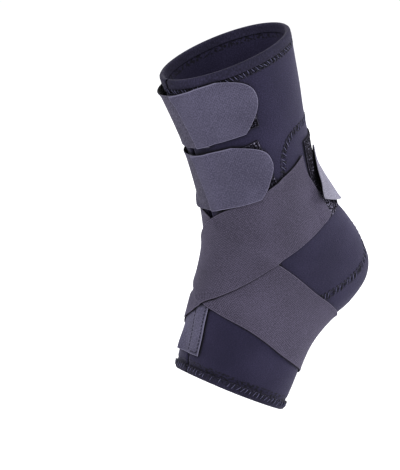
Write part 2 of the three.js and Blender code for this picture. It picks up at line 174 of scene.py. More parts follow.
def real_sections():
    """LIMB in millimetres: each share times the reach on its side of the ankle's centre."""
    table = LIMB.copy()
    for column in (0, 2):
        table[:, column] *= np.where(table[:, column] < 0, INSTEP_REACH, HEEL_REACH)
    for column in (1, 3):
        table[:, column] *= np.where(table[:, column] < 0, FOOT_DROP, LEG_RISE)
    table[:, 4] *= HALF_WIDTH
    return table


SECTIONS = real_sections()


def face(station, azimuth):
    """A point of the sleeve's outer face. Its section is a superellipse |x|^n + |y|^n = 1 that is stretched
    from the section's front point to its back point, and sideways to its half width."""
    station, azimuth = np.broadcast_arrays(np.asarray(station, float), np.asarray(azimuth, float))
    row = rows_at(SECTIONS, station)
    cosine, sine = np.cos(np.radians(azimuth)), np.sin(np.radians(azimuth))
    square = row[..., 6]
    reach = (np.abs(cosine) ** square + np.abs(sine) ** square) ** (-1 / square)
    level = np.zeros_like(cosine)
    front = np.stack([row[..., 0], level, row[..., 1]], -1)
    back = np.stack([row[..., 2], level, row[..., 3]], -1)
    point = 0.5 * (front + back) + 0.5 * (front - back) * (reach * cosine)[..., None]
    point[..., 1] -= row[..., 4] * reach * sine * (1 + row[..., 5] * cosine)
    return point


def face_frame(station, azimuth):
    """The same point, its change for each station and for each degree, and the outward normal."""
    step = 0.01
    per_station = (face(station + step, azimuth) - face(station - step, azimuth)) / (2 * step)
    per_degree = (face(station, azimuth + step) - face(station, azimuth - step)) / (2 * step)
    return face(station, azimuth), per_station, per_degree, unit(np.cross(per_station, per_degree))


def offset_points(station, azimuth, height):
    """Points that stand off the face by a height along its normal."""
    point, _, _, normal = face_frame(station, azimuth)
    return point + normal * np.asarray(height)[..., None]


def shares(per_station, per_degree, s, d):
    """The stations and degrees of a step on the face, from its products with the changes for each."""
    ss, sd, dd = dot(per_station, per_station), dot(per_station, per_degree), dot(per_degree, per_degree)
    size = ss * dd - sd * sd
    return (s * dd - d * sd) / size, (d * ss - s * sd) / size


def walk(station, azimuth, heading, distance, steps=8):
    """Where one comes to by going straight over the face for a distance, in short steps: each step is the
    heading laid flat on the face and solved for its share of stations and degrees."""
    for _ in range(steps):
        _, per_station, per_degree, normal = face_frame(station, azimuth)
        heading = unit(heading - normal * dot(heading, normal)[..., None])
        s = dot(heading, per_station) * distance / steps
        d = dot(heading, per_degree) * distance / steps
        stations, degrees = shares(per_station, per_degree, s, d)
        station, azimuth = station + stations, azimuth + degrees
    return station, azimuth


def running_lengths(points):
    """Length along a line of points, up to each."""
    return np.r_[0, np.cumsum(np.linalg.norm(np.diff(points, axis=0), axis=1))]


class Line:
    """A route's centre line, measured along the face. Sideways is to the left of the way that it runs."""

    SAMPLES = 500

    def __init__(self, route):
        self.places = rows_at(route, np.linspace(0, len(route) - 1, self.SAMPLES))
        points, _, _, normals = face_frame(self.places[:, 0], self.places[:, 1])
        self.lengths = running_lengths(points)
        self.length = self.lengths[-1]
        self.sides = unit(np.cross(normals, np.gradient(points, axis=0)))

    def along(self, distance):
        """Station, azimuth and sideways direction at distances from the start."""
        station, azimuth = (np.interp(distance, self.lengths, self.places[:, k]) for k in (0, 1))
        side = np.stack([np.interp(distance, self.lengths, self.sides[:, k]) for k in range(3)], -1)
        return station, azimuth, unit(side)

    def beside(self, distance, across):
        """Station and azimuth of points that lie beside the line."""
        station, azimuth, side = self.along(distance)
        return walk(station, azimuth, side, across)


# Height of the top of what has been laid on the sleeve, on a grid of fractions of a station and of degrees
GROUND_ROWS = 391
GROUND_COLUMNS = 360
SPREAD_CELLS = 3
BLUR_PASSES = 6
ground = np.zeros((GROUND_ROWS, GROUND_COLUMNS))


def shifted(grid, rows, columns):
    """The grid moved by whole cells: round and round in azimuth, held at its ends in station."""
    index = np.clip(np.arange(GROUND_ROWS) - rows, 0, GROUND_ROWS - 1)
    return np.roll(grid[index], columns, axis=1)


def spread_ground(stiffness):
    """What a cloth laid now would follow: the tops grown by SPREAD_CELLS all round, then blurred, so that it
    bridges each edge with a soft slope. A stiffness over 1 multiplies both."""
    cells = SPREAD_CELLS * stiffness
    reach = range(-cells, cells + 1)
    within = [(i, j) for i in reach for j in reach if i * i + j * j <= cells**2 + 1]
    grown = np.max([shifted(ground, i, j) for i, j in within], axis=0)
    for _ in range(BLUR_PASSES * stiffness**2):
        grown = 0.5 * grown + 0.25 * (shifted(grown, 1, 0) + shifted(grown, -1, 0))
        grown = 0.5 * grown + 0.25 * (shifted(grown, 0, 1) + shifted(grown, 0, -1))
    return grown


def height_on(grid, station, azimuth):
    """A ground grid's height at places on the face, by mixing the four cells round each."""
    row = np.clip(station / LAST_STATION * (GROUND_ROWS - 1), 0, GROUND_ROWS - 1.001)
    column = np.mod(azimuth, 360.0) * GROUND_COLUMNS / 360
    i, j = np.floor(row).astype(int), np.floor(column).astype(int)
    f, g = row - i, column - j
    j, after = j % GROUND_COLUMNS, (j + 1) % GROUND_COLUMNS
    near = grid[i, j] * (1 - g) + grid[i, after] * g
    far = grid[i + 1, j] * (1 - g) + grid[i + 1, after] * g
    return near * (1 - f) + far * f


def raise_ground(station, azimuth, top):
    """Notes the top of a piece that has been laid."""
    row = np.clip(np.rint(station / LAST_STATION * (GROUND_ROWS - 1)), 0, GROUND_ROWS - 1).astype(int)
    column = np.rint(np.mod(azimuth, 360.0) * GROUND_COLUMNS / 360).astype(int) % GROUND_COLUMNS
    np.maximum.at(ground, (row, column), top)


def make_piece(name, points, faces, materials, cloth=None, second=None, sharp=None):
    """A mesh from points in millimetres and a list of face arrays, each with rows of corner numbers. `cloth`
    holds millimetres along the cloth, across it and from its border for each point."""
    mesh = bpy.data.meshes.new(name)
    corners = np.concatenate([block.ravel() for block in faces])
    sizes = np.concatenate([np.full(len(block), block.shape[1]) for block in faces])
    mesh.vertices.add(len(points))
    mesh.vertices.foreach_set("co", (np.asarray(points) * MM).astype(np.float32).ravel())
    mesh.loops.add(len(corners))
    mesh.loops.foreach_set("vertex_index", corners.astype(np.int32))
    mesh.polygons.add(len(sizes))
    mesh.polygons.foreach_set("loop_start", np.r_[0, np.cumsum(sizes)[:-1]].astype(np.int32))
    mesh.polygons.foreach_set("use_smooth", np.ones(len(sizes), bool))
    if second is not None:
        mesh.polygons.foreach_set("material_index", second.astype(np.int32))
    if cloth is not None:
        attribute = mesh.attributes.new("cloth", "FLOAT_VECTOR", "POINT")
        attribute.data.foreach_set("vector", cloth.astype(np.float32).ravel())
    mesh.update(calc_edges=True)
    mesh.validate()
    if sharp is not None:
        mesh.set_sharp_from_angle(angle=math.radians(sharp))
    for material in materials:
        mesh.materials.append(material)
    piece = bpy.data.objects.new(name, mesh)
    bpy.context.scene.collection.objects.link(piece)
    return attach(piece, ROOT)


def grid_faces(index):
    """Quads over a grid of corner numbers, in the order that faces outwards on the sleeve."""
    a, b, c, d = index[:-1, :-1], index[1:, :-1], index[1:, 1:], index[:-1, 1:]
    return np.stack([a, b, c, d], -1).reshape(-1, 4)


def marks(length, step, rim):
    """Places along a length: about a step apart, and closer towards both ends for a rounded rim."""
    near = rim * np.array([0, 0.08, 0.28, 0.6])
    count = max(2, round((length - 2 * rim) / step))
    return np.r_[near, np.linspace(rim, length - rim, count + 1), (length - near)[::-1]]


def two_faces(top, bottom, cloth):
    """Points, faces and cloth millimetres of a closed piece of cloth, from the two grids of its faces. Both
    faces share the corners of the border."""
    rows, columns = top.shape[:2]
    outer = np.arange(rows * columns).reshape(rows, columns)
    inner = outer.copy()
    inner[1:-1, 1:-1] = rows * columns + np.arange((rows - 2) * (columns - 2)).reshape(rows - 2, -1)
    points = np.vstack([top.reshape(-1, 3), bottom[1:-1, 1:-1].reshape(-1, 3)])
    cloth = np.vstack([cloth.reshape(-1, 3), cloth[1:-1, 1:-1].reshape(-1, 3)])
    return points, [grid_faces(outer), grid_faces(inner)[:, ::-1]], cloth


def rounded(border, thickness, rim, square=2.4):
    """Half the thickness of a cloth at a distance from its border: a superellipse quarter over the rim."""
    t = 1 - np.clip(border / rim, 0, 1)
    return 0.5 * thickness * (1 - t**square) ** (1 / square)


def border_distance(distance, length, across, width):
    """Millimetres to the nearest border of a strip."""
    return np.minimum(np.minimum(distance, length - distance), width / 2 - np.abs(across))


def edge_curl(border):
    """How much higher a strip lies at a distance from its border than well inside it."""
    return EDGE_CURL * (1 - smooth(border / CURL_REACH))


def lay_strip(name, route, width, thickness, material, end_cut=None, lift=None, under=None, stiffness=1):
    """A strip of cloth along a route: a grid of lengthways and crossways marks whose places are walked to
    from the centre line. It lies on the spread ground, with both faces meeting at rounded borders.
    `end_cut` gives what is cut off the free end against the edge, from -1 to 1, and `lift` adds height. A
    stiffer strip bridges the ground more widely."""
    line = Line(route)
    rim = STRIP_RIM * thickness
    along = marks(line.length, STRIP_STEP, rim)[:, None]
    across = (marks(width, STRIP_STEP, rim) - width / 2)[None, :]
    edge = 2 * across / width
    length = line.length - (end_cut(edge) if end_cut else 0 * edge)
    distance = along * length / line.length
    across = across + 0 * distance
    station, azimuth = line.beside(distance, across)
    border = np.maximum(border_distance(distance, length, across, width), 0)
    base = spread_ground(stiffness)
    middle = height_on(base, station, azimuth) + AIR + thickness / 2 + edge_curl(border)
    if lift is not None:
        middle = middle + lift(distance / line.length, edge + 0 * distance)
    half = rounded(border, thickness, rim)
    raise_ground(station, azimuth, middle + half)

    top = offset_points(station, azimuth, middle + half)
    bottom = offset_points(station, azimuth, middle - half)
    points, faces, cloth = two_faces(top, bottom, np.stack([distance, across, border], -1))
    # The bottom face, with the lower half of the rounded border, takes the `under` material, painted shade
    second = np.repeat([0, 1], [len(faces[0]), len(faces[1])])
    piece = make_piece(name, points, faces, [material, under or STRIP_BACK_PAINTED_SHADE], cloth, second)
    return {"piece": piece, "line": line, "base": base, "thickness": thickness, "width": width, "lift": lift}


def on_strip(strip, distance, across):
    """Points and normals on top of a strip that has been laid, at distances along and across it."""
    distance, across = np.broadcast_arrays(np.asarray(distance, float), np.asarray(across, float))
    station, azimuth = strip["line"].beside(distance, across)
    length, width = strip["line"].length, strip["width"]
    border = border_distance(distance, length, across, width)
    height = height_on(strip["base"], station, azimuth) + AIR + strip["thickness"] + edge_curl(border)
    if strip["lift"] is not None:
        height = height + strip["lift"](distance / length, 2 * across / width)
    point, _, _, normal = face_frame(station, azimuth)
    return point + normal * height[..., None], normal


# A stitch's sides, and its thickness as shares of its radius at shares of its length
STITCH_SIDES = 5
STITCH_SHARES = np.array([0, 0.12, 0.5, 0.88, 1])
STITCH_THICKNESS = np.array([0, 0.8, 1, 0.8, 0])


def sew(name, starts, ends, normals, radius, arch, material):
    """Stitches: each a spindle of thread from a start to an end point, five-sided, thickest in the middle,
    that arches off the cloth like half a sine."""
    count = len(starts)
    shares = STITCH_SHARES
    thick = STITCH_THICKNESS * radius
    ahead = unit(ends - starts)
    aside = unit(np.cross(normals, ahead))
    rise = np.cross(ahead, aside)
    turn = 2 * np.pi * np.arange(STITCH_SIDES) / STITCH_SIDES
    middle = starts[:, None] + (ends - starts)[:, None] * shares[:, None]
    middle = middle + normals[:, None] * (arch * np.sin(np.pi * shares))[:, None]
    spokes = np.cos(turn)[:, None] * aside[:, None] + np.sin(turn)[:, None] * rise[:, None]
    rings = middle[:, 1:4, None] + thick[1:4, None, None] * spokes[:, None]
    points = np.concatenate([middle[:, :1], rings.reshape(count, -1, 3), middle[:, 4:]], 1)
    size = points.shape[1]
    k = np.arange(STITCH_SIDES)
    after = (k + 1) % STITCH_SIDES
    ring, far_ring, last = (1 + r * STITCH_SIDES for r in range(3))
    quads = [
        np.stack([near + k, near + after, far + after, far + k], -1)
        for near, far in ((ring, far_ring), (far_ring, last))
    ]
    triangles = [
        np.stack([0 * k, 1 + after, 1 + k], -1),
        np.stack([0 * k + size - 1, last + k, last + after], -1),
    ]
    first = (np.arange(count) * size)[:, None, None]
    blocks = [np.concatenate(block) for block in (quads, triangles)]
    faces = [(block[None] + first).reshape(-1, block.shape[1]) for block in blocks]
    return make_piece(name, points.reshape(-1, 3), faces, [material])


# Cover stitches: the spread of the strokes' ends and how far they slip along the seam, as shares of the width
# and of the step, the share of the strokes painted paler as highlight that show, how long a dash is in steps,
# how high the threads arch, and their radii
STROKE_SPREAD = 0.13
STROKE_SLIP = (-0.5, 0.9)
HIGHLIGHT_SHOWN = 0.85
DASH_LENGTH = 1.3
STROKE_ARCH = 0.2
DARK_RADIUS = 0.26
HIGHLIGHT_RADIUS = 0.28
DASH_RADIUS = 0.4


def cover_stitches(name, points, normals, sides, width):
    """Cover stitches over a line of points: strokes that lean across it, in turn of dark thread and of thread
    painted paler as highlight, and dashes of dark thread along the side that the sideways direction points
    to. Each stroke's ends are shifted by seeded random shares of the width and of the step. Where the line
    was cut, nothing is sewn over the gap."""
    draw = np.random.default_rng(SEED)
    near = np.linalg.norm(np.diff(points, axis=0), axis=1) < 2 * width
    ends = draw.normal(0, STROKE_SPREAD, (2, len(points) - 1, 1))
    slip = draw.uniform(*STROKE_SLIP, (len(points) - 1, 1)) * (points[1:] - points[:-1])
    starts = points[:-1] - sides[:-1] * width * (0.5 + ends[0])
    stops = points[1:] + slip + sides[1:] * width * (0.5 + ends[1])
    even = np.arange(len(starts)) % 2 == 0
    shown = draw.uniform(0, 1, len(starts)) < HIGHLIGHT_SHOWN
    edge = points + sides * width * 0.5
    dash_ends = edge[:-1] + DASH_LENGTH * (edge[1:] - edge[:-1])
    rows = {
        "dark": (starts, stops, near & even, DARK_RADIUS, DARK_THREAD),
        # Strokes of thread painted paler, as highlight
        "grey": (starts, stops, near & ~even & shown, HIGHLIGHT_RADIUS, HIGHLIGHT_THREAD),
        "dashes": (edge[:-1], dash_ends, near & even, DASH_RADIUS, DARK_THREAD),
    }
    for row, (first, last, kept, radius, material) in rows.items():
        ends_at = (first[kept], last[kept], normals[:-1][kept])
        sew(f"{name}_stitches_{row}", *ends_at, radius, STROKE_ARCH, material)


def linear(colour):
    """An sRGB hex colour as linear red, green, blue and alpha."""
    parts = [int(colour[k : k + 2], 16) / 255 for k in (1, 3, 5)]
    return (*[c / 12.92 if c <= 0.04045 else ((c + 0.055) / 1.055) ** 2.4 for c in parts], 1.0)


def add(tree, kind, inputs=(), **settings):
    """Adds a node of a kind, with its settings and its inputs, each a value or another node's socket."""
    made = tree.nodes.new("ShaderNode" + kind)
    for key, value in settings.items():
        setattr(made, key, value)
    for key, value in dict(inputs).items():
        if isinstance(value, bpy.types.NodeSocket):
            tree.links.new(value, made.inputs[key])
        else:
            made.inputs[key].default_value = value
    return made


def cloth_shader(name, roughness, sheen, specular=0.14):
    """A material with a shader whose constants are set, and the cloth's own millimetres to draw it in."""
    material = bpy.data.materials.new(name)
    material.use_nodes = True
    tree = material.node_tree
    tree.nodes.clear()
    constants = {
        "Roughness": roughness,
        "Sheen Weight": sheen,
        "Sheen Roughness": 0.45,
        "Sheen Tint": linear("#a5a0c4"),
        "Specular IOR Level": specular,
        "IOR": 1.5,
    }
    shader = add(tree, "BsdfPrincipled", constants)
    add(tree, "OutputMaterial", {"Surface": shader.outputs["BSDF"]})
    cloth = add(tree, "Attribute", attribute_name="cloth").outputs["Vector"]
    return material, tree, shader, cloth


def ramp(tree, factor, stops):
    """Colours along a factor, from a list of positions and hex colours."""
    made = add(tree, "ValToRGB", {"Fac": factor})
    band = made.color_ramp
    while len(band.elements) < len(stops):
        band.elements.new(0.5)
    for element, (position, colour) in zip(band.elements, stops):
        element.position = position
        element.color = linear(colour)
    return made.outputs["Color"]


def mixed(tree, factor, first, second):
    """Two colours mixed by a factor."""
    values = {"Factor": factor, "A": first, "B": second}
    return add(tree, "Mix", values, data_type="RGBA").outputs["Result"]


def reckoned(tree, operation, *values):
    """The result of a sum, product or the like of values and sockets."""
    return add(tree, "Math", dict(enumerate(values)), operation=operation).outputs["Value"]


def noise(tree, vector, scale, detail, roughness):
    """Soft random values about a half over space, or over the cloth."""
    values = {"Vector": vector, "Scale": scale, "Detail": detail, "Roughness": roughness}
    return add(tree, "TexNoise", values).outputs["Fac"]


def fading(tree, value, start, end, strength, kind="SMOOTHSTEP"):
    """A strength up to the start of a range, which goes down to nothing at its end."""
    values = {"Value": value, "From Min": start, "From Max": end, "To Min": strength, "To Max": 0.0}
    return add(tree, "MapRange", values, interpolation_type=kind).outputs["Result"]


# Size of the broad mottle, and its strength against the weave
MOTTLE = 38.0
MOTTLE_STRENGTH = 0.5

# Pitch of the woven dots, drawn about three times as coarse as the real yarn so that they show
DOT_PITCH = 1.5

# How far in a cloth takes painted shade beside another piece, the shares of open air between which it
# does, how dark that painted shade gets, and its colour
PAINTED_SHADE_REACH = 5.0
PAINTED_SHADE_OPEN = (0.5, 0.85)
PAINTED_SHADE_STRENGTH = 0.97
SHADE = "#050508"

# Painted shade in the pits of a seam: how many pits to a millimetre, the noise levels between which they set
# in, the share of their reach that they fill in full, and the strength of that painted shade
PIT_SCALE = 0.55
PIT_LEVELS = (0.48, 0.56)
PIT_FULL = 0.6
PIT_SHADE_STRENGTH = 0.85


def patterned(made, colours, weave, stretch, depth, border=None, pits=None, dots=0):
    """Colour and relief of a cloth: a broad soft mottle over a fine irregular weave that is stretched along
    or across the cloth, a paler line at the border that is partly the cloth's own edge and partly painted
    highlight, and painted shade where the cloth lies close beside or under another piece. The weave's size
    and depth are in millimetres. `border` holds where the paler line starts to fade, where it ends, its
    strength and its colour. `pits` paints shade into a seam's pits as far as that from the seam, and `dots`
    is the strength of a regular weave, two sines multiplied and turned by an eighth of a turn."""
    material, tree, shader, cloth = made
    broad = noise(tree, add(tree, "TexCoord").outputs["Object"], 1 / (MOTTLE * MM), 3.0, 0.6)
    stretched = add(tree, "VectorMath", {0: cloth, 1: stretch}, operation="MULTIPLY").outputs["Vector"]
    fine = noise(tree, stretched, 1 / weave, 2.0, 0.6)
    if dots:
        turned = {"Vector": cloth, "Rotation": (0, 0, math.pi / 4), "Scale": (2 * math.pi / DOT_PITCH,) * 3}
        waves = add(tree, "VectorMath", {0: add(tree, "Mapping", turned).outputs["Vector"]}, operation="SINE")
        parts = add(tree, "SeparateXYZ", {"Vector": waves.outputs["Vector"]}).outputs
        fine = reckoned(tree, "MULTIPLY_ADD", reckoned(tree, "MULTIPLY", parts["X"], parts["Y"]), dots, fine)
    softer = reckoned(tree, "MULTIPLY", broad, MOTTLE_STRENGTH)
    level = reckoned(tree, "SUBTRACT", reckoned(tree, "ADD", fine, softer), MOTTLE_STRENGTH / 2)
    colour = ramp(tree, level, colours)
    distance = add(tree, "SeparateXYZ", {"Vector": cloth}).outputs["Z"]
    # Paler line at the border: partly the cloth's own edge, partly painted highlight
    if border is not None:
        start, end, strength, line = border
        colour = mixed(tree, fading(tree, distance, start, end, strength), colour, linear(line))
    # Painted shade in a seam's pits
    if pits is not None:
        levels = {"Value": noise(tree, cloth, PIT_SCALE, 1.0, 0.4)}
        levels["From Min"], levels["From Max"] = PIT_LEVELS
        sharp = add(tree, "MapRange", levels).outputs["Result"]
        near = fading(tree, distance, PIT_FULL * pits, pits, PIT_SHADE_STRENGTH)
        colour = mixed(tree, reckoned(tree, "MULTIPLY", near, sharp), colour, linear(SHADE))
    # Painted shade: the colour darkens towards SHADE where ambient occlusion finds little open air round the
    # cloth
    open_air = add(tree, "AmbientOcclusion", {"Distance": PAINTED_SHADE_REACH * MM}, samples=8, inside=False).outputs["AO"]
    shaded = fading(tree, open_air, *PAINTED_SHADE_OPEN, PAINTED_SHADE_STRENGTH, "LINEAR")
    colour = mixed(tree, shaded, colour, linear(SHADE))
    tree.links.new(colour, shader.inputs["Base Color"])
    bump = add(tree, "Bump", {"Height": fine, "Strength": 1.0, "Distance": depth * MM})
    tree.links.new(bump.outputs["Normal"], shader.inputs["Normal"])
    return material


def neoprene_jersey():
    """Foam rubber laminated with a fine nylon jersey: matt and dark navy, paler at a glance along it."""
    made = cloth_shader("neoprene_jersey", 0.85, 0.16)
    colours = [(0.35, "#151326"), (0.5, "#1b182c"), (0.68, "#252238")]
    # Painted shade in the seams' pits, up to 3.2 mm from a seam
    return patterned(made, colours, 0.9, (1.0, 1.6, 0.0), 0.25, pits=3.2)


def stretch_binding():
    """Knitted polyester binding, folded over a rim: nearly black, with a slight sheen and fine cross ribs."""
    made = cloth_shader("stretch_binding", 0.9, 0.05)
    colours = [(0.3, "#12101d"), (0.5, "#1a1828"), (0.7, "#282539")]
    return patterned(made, colours, 0.9, (1.6, 0.5, 0.0), 0.25)


def woven_elastic():
    """Wide woven elastic: purplish grey yarn over rubber, with a close grain along its length."""
    made = cloth_shader("woven_elastic", 0.85, 0.10)
    colours = [(0.33, "#2b2834"), (0.5, "#373341"), (0.68, "#474254")]
    # The paler border line: partly the edge's own colour, partly painted highlight
    border = (0.3, 0.9, 0.2, "#5d5868")
    return patterned(made, colours, 1.1, (0.8, 1.4, 0.0), 0.3, border=border, dots=0.26)


def strap_webbing():
    """Plain woven polyester webbing: dark grey, with a coarse crossways rib and a firm edge that is paler,
    partly as painted highlight.
    """
    made = cloth_shader("strap_webbing", 0.8, 0.08)
    colours = [(0.33, "#23212d"), (0.5, "#34313f"), (0.68, "#4f4c5d")]
    # The paler border line: partly the edge's own colour, partly painted highlight
    border = (0.2, 0.9, 0.3, "#5c5a66")
    return patterned(made, colours, 1.0, (1.5, 0.6, 0.0), 0.35, border=border, dots=0.16)


def hook_tape_back():
    """Back of a nylon hook tape: blue grey, a tight speckled weave whose cut edges are paler, partly as
    painted highlight.
    """
    made = cloth_shader("hook_tape_back", 0.8, 0.10)
    colours = [(0.3, "#312e3e"), (0.5, "#3b394a"), (0.7, "#4c495d")]
    # The paler border line: partly the edge's own colour, partly painted highlight
    border = (0.3, 0.9, 0.5, "#716e84")
    return patterned(made, colours, 1.0, (1.0, 1.0, 0.0), 0.35, border=border, dots=0.18)


def pale_hook_tape_back():
    """Back of the band's hook tape: the same weave in light lavender grey."""
    made = cloth_shader("pale_hook_tape_back", 0.8, 0.08)
    colours = [(0.3, "#504f5c"), (0.5, "#656371"), (0.7, "#807e8b")]
    # The paler border line: partly the edge's own colour, partly painted highlight
    border = (0.2, 0.8, 0.3, "#83818f")
    return patterned(made, colours, 0.9, (1.0, 1.0, 0.0), 0.3, border=border, dots=0.2)


def hook_field_painted_shade():
    """The hook side of a hook tape, a dense field of cut nylon loops that faces the cloth below, drawn nearly
    black as painted shade.
    """
    made = cloth_shader("hook_field_painted_shade", 0.7, 0.05)
    colours = [(0.35, "#08080b"), (0.5, "#0f0f14"), (0.65, "#1e1e26")]
    return patterned(made, colours, 0.9, (1.0, 1.0, 0.0), 0.8)


def strip_back_painted_shade():
    """The back of a woven strip: the same yarn, drawn nearly black as painted shade, since it sees only the
    cloth that it lies on.
    """
    made = cloth_shader("strip_back_painted_shade", 0.9, 0.0)
    colours = [(0.35, "#0b0a0f"), (0.5, "#121117"), (0.65, "#1a1920")]
    return patterned(made, colours, 1.0, (1.0, 1.0, 0.0), 0.3)


def loop_pile():
    """Brushed nylon loop pile: nearly black and deep, with paler loops standing out of it."""
    made = cloth_shader("loop_pile", 0.95, 0.0, specular=0.04)
    colours = [(0.48, "#060509"), (0.57, "#15131e"), (0.7, "#787588")]
    # The paler border line: partly the edge's own colour, partly painted highlight
    border = (0.3, 0.9, 0.3, "#454351")
    return patterned(made, colours, 1.2, (1.0, 1.0, 0.0), 0.7, border=border)


def folded_tape():
    """Folded twill tape: mid grey, with a slight sheen, and a paler line along its folded edges, partly
    painted highlight.
    """
    made = cloth_shader("folded_tape", 0.7, 0.12)
    colours = [(0.3, "#2e2c3b"), (0.5, "#3b394a"), (0.7, "#4e4b60")]
    # The paler border line: partly the edge's own colour, partly painted highlight
    return patterned(made, colours, 1.0, (1.3, 0.8, 0.0), 0.3, border=(0.2, 0.7, 0.5, "#737086"))


def plain_thread(name, colour, darker):
    """Bonded polyester sewing thread: a smooth twisted cord, a little glossier than the cloth."""
    material, tree, shader, _ = cloth_shader(name, 0.6, 0.1)
    twist = noise(tree, add(tree, "TexCoord").outputs["Object"], 900.0, 1.0, 0.5)
    tree.links.new(ramp(tree, twist, [(0.35, darker), (0.65, colour)]), shader.inputs["Base Color"])
    return material


JERSEY = neoprene_jersey()
BINDING = stretch_binding()
ELASTIC_CLOTH = woven_elastic()
WEBBING_CLOTH = strap_webbing()
HOOK_BACK = hook_tape_back()
PALE_HOOK_BACK = pale_hook_tape_back()
HOOK_SIDE_PAINTED_SHADE = hook_field_painted_shade()
PILE_CLOTH = loop_pile()
TAPE_CLOTH = folded_tape()
STRIP_BACK_PAINTED_SHADE = strip_back_painted_shade()
DARK_THREAD = plain_thread("dark_thread", "#131222", "#090912")
# The same thread painted paler, as highlight on the stitches
HIGHLIGHT_THREAD = plain_thread("highlight_thread", "#4e4d68", "#39374d")


# Share of a panel's reach towards the leg over which its reach in degrees changes
PANEL_WIDENS = 0.8


def panel_degrees(station, panel):
    """A panel's reach in degrees at a station: a soft step from its leg end to its middle."""
    middle, reach_up, _, degrees_up, degrees, _ = panel
    over = PANEL_WIDENS * reach_up
    return degrees_up + (degrees - degrees_up) * smooth((station - middle + over) / over)


def panel_level(station, azimuth, panel):
    """Below 0 inside a panel and above 0 outside: the superellipse norm of a place about the back line."""
    middle, reach_up, reach_down, _, _, exponent = panel
    s = (station - middle) / np.where(station < middle, reach_up, reach_down)
    a = (np.mod(azimuth, 360.0) - 180) / panel_degrees(station, panel)
    return (np.abs(s) ** exponent + np.abs(a) ** exponent) ** (1 / exponent) - 1


def panel_distance(station, azimuth, panel):
    """Signed millimetres to a panel's outline: its level over the level's slope on the face. Also the change
    of station and azimuth for each millimetre straight outwards."""
    step = 0.02
    level = panel_level(station, azimuth, panel)
    by_station = panel_level(station + step, azimuth, panel) - panel_level(station - step, azimuth, panel)
    by_degree = panel_level(station, azimuth + step, panel) - panel_level(station, azimuth - step, panel)
    by_station, by_degree = by_station / (2 * step), by_degree / (2 * step)
    _, per_station, per_degree, _ = face_frame(station, azimuth)
    up_station, up_degree = shares(per_station, per_degree, by_station, by_degree)
    slope = np.sqrt(np.maximum(by_station * up_station + by_degree * up_degree, 1e-12))
    return level / slope, up_station / slope, up_degree / slope


PANELS = {"achilles": ACHILLES_PANEL, "cup": HEEL_CUP}

# The sleeve's grid, and how deep and how wide to each side a seam presses into it
SLEEVE_ROWS = 250
SLEEVE_COLUMNS = 232
SEAM_DIP = 0.55
SEAM_HALF = 1.5

# Distance of the seam beside a rim's binding, and one that is too far for a seam to be felt
RIM_GROOVE = 1.6
FAR = 50.0

# Average millimetres to a station and to a degree on the face, for the cloth's pattern
STATION_MM = 26.0
DEGREE_MM = 0.66

# A grid corner is moved onto a seam from within a share of its cell, whose size counts within limits and with
# a rougher measure of a degree
SNAP_SHARE = 0.52
SNAP_CELL = (0.6, 1.6)
SNAP_DEGREE_MM = 0.7

# The binding squeezes the sleeve's rim: how far its outer face sinks there and its inner face rises, where
# that starts to ease off, and over what reach
RIM_SINK = 0.5
RIM_RISE = 1.3
RIM_START = 1.0
RIM_EASE = 7.0

# Radius of the rounded edges at the front opening, and the most that each face may close in there, as a share
# of the sleeve's thickness
OPENING_ROUND = 1.3
OPENING_CLOSE = 0.35


def opening_edge(station):
    """Azimuth of the front opening's edge at a station."""
    half = np.interp(station, OPENING_HALF[:, 0], OPENING_HALF[:, 1])
    return half / np.linalg.norm(face_frame(station, 0 * station)[2], axis=-1)


def soft_folds(station, azimuth):
    """Low waves of the worn sleeve: a few sines that cross at a slant, up to a third of a millimetre."""
    a = np.radians(azimuth)
    waves = 0.16 * np.sin(2.1 * station + 3 * a) + 0.12 * np.sin(3.7 * station - 5 * a + 1.0)
    return waves + 0.07 * np.sin(6.3 * station + 9 * a + 2.0)


